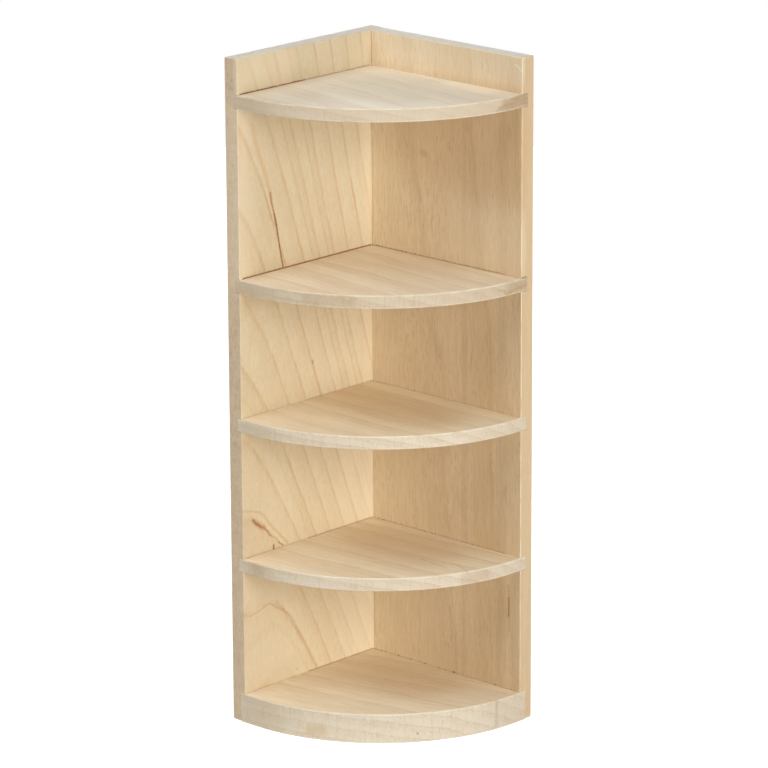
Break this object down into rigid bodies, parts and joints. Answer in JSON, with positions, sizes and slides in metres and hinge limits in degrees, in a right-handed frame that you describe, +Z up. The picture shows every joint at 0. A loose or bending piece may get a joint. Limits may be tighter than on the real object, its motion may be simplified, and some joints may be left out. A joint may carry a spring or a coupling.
{
  "type": "corner shelf unit",
  "caption": "Miniature open corner shelf unit in bare pale wood: upright panels meeting at a right angle, with round-fronted shelves housed in grooves over a thicker base.",
  "frame": {"origin": "centre of the footprint's bounding box, on the floor", "axes": "+Z up; the left panel's outer face looks along -X and the right panel's outer face along +Y, so the open side faces +X and -Y"},
  "size_m": [0.0512, 0.0486, 0.16],
  "materials": {
    "panel_wood": "bare sanded basswood, warm cream with fine tan growth rings",
    "shelf_wood": "bare sanded basswood, pale cream with soft streaks"
  },
  "bodies": {
    "root": {"left_panel": "panel_wood", "right_panel": "panel_wood", "top_shelf": "shelf_wood", "upper_shelf": "shelf_wood", "middle_shelf": "shelf_wood", "lower_shelf": "shelf_wood", "base_shelf": "shelf_wood"}
  },
  "joints": []
}
